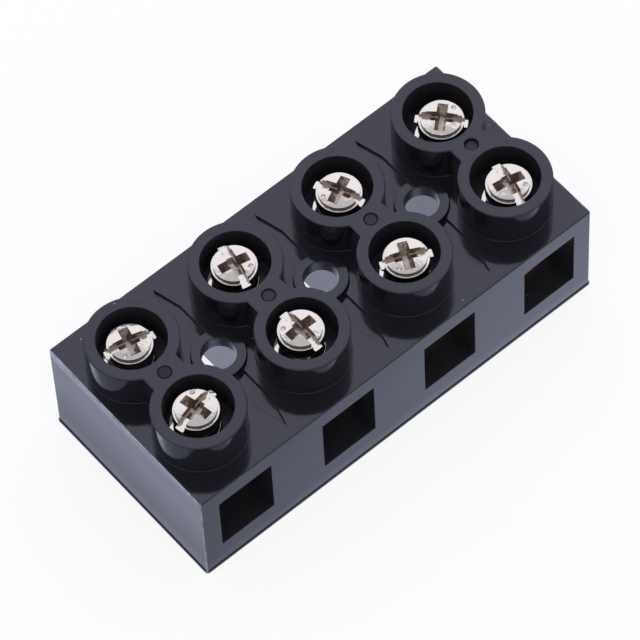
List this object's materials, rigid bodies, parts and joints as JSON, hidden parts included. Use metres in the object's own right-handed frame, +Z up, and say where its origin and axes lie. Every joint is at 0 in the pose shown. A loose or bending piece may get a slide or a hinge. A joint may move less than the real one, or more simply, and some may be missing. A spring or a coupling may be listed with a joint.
{
  "type": "barrier terminal strip",
  "caption": "Black moulded terminal strip with raised figure-eight collars round nickel-plated clamping screws, rectangular wire tunnels and fixing holes between the poles.",
  "frame": {"origin": "middle of the underside, on the plane the strip stands on", "axes": "+X along the strip from pole 1 to pole 4, -Y out of the front long side, +Z up"},
  "size_m": [0.0884, 0.041, 0.0317],
  "materials": {
    "housing": "glossy black moulded plastic, with faint flow marks and trimmed flash",
    "terminal": "plain brass tube with sawn ends, slightly dull inside",
    "screw": "bright nickel plate on steel, a little darker in the slot and cross recess",
    "washer": "bright nickel plate on stamped steel"
  },
  "bodies": {
    "housing": {"housing": "housing", "terminal_tube_1": "terminal", "washer_1_front": "washer", "washer_1_back": "washer", "terminal_tube_2": "terminal", "washer_2_front": "washer", "washer_2_back": "washer", "terminal_tube_3": "terminal", "washer_3_front": "washer", "washer_3_back": "washer", "terminal_tube_4": "terminal", "washer_4_front": "washer", "washer_4_back": "washer"},
    "screw_1_front": {"screw_1_front": "screw"},
    "screw_1_back": {"screw_1_back": "screw"},
    "screw_2_front": {"screw_2_front": "screw"},
    "screw_2_back": {"screw_2_back": "screw"},
    "screw_3_front": {"screw_3_front": "screw"},
    "screw_3_back": {"screw_3_back": "screw"},
    "screw_4_front": {"screw_4_front": "screw"},
    "screw_4_back": {"screw_4_back": "screw"}
  },
  "joints": [
    {"name": "screw_1_front_travel", "type": "slide", "parent": "housing", "child": "screw_1_front", "axis": [0, 0, 1], "range_m": [-0.00135, 0.00575]},
    {"name": "screw_1_back_travel", "type": "slide", "parent": "housing", "child": "screw_1_back", "axis": [0, 0, 1], "range_m": [-0.00075, 0.00635]},
    {"name": "screw_2_front_travel", "type": "slide", "parent": "housing", "child": "screw_2_front", "axis": [0, 0, 1], "range_m": [-0.00245, 0.00465]},
    {"name": "screw_2_back_travel", "type": "slide", "parent": "housing", "child": "screw_2_back", "axis": [0, 0, 1], "range_m": [-0.00185, 0.00525]},
    {"name": "screw_3_front_travel", "type": "slide", "parent": "housing", "child": "screw_3_front", "axis": [0, 0, 1], "range_m": [-0.00205, 0.00505]},
    {"name": "screw_3_back_travel", "type": "slide", "parent": "housing", "child": "screw_3_back", "axis": [0, 0, 1], "range_m": [-0.00205, 0.00505]},
    {"name": "screw_4_front_travel", "type": "slide", "parent": "housing", "child": "screw_4_front", "axis": [0, 0, 1], "range_m": [-0.00225, 0.00485]},
    {"name": "screw_4_back_travel", "type": "slide", "parent": "housing", "child": "screw_4_back", "axis": [0, 0, 1], "range_m": [-0.00215, 0.00495]}
  ]
}
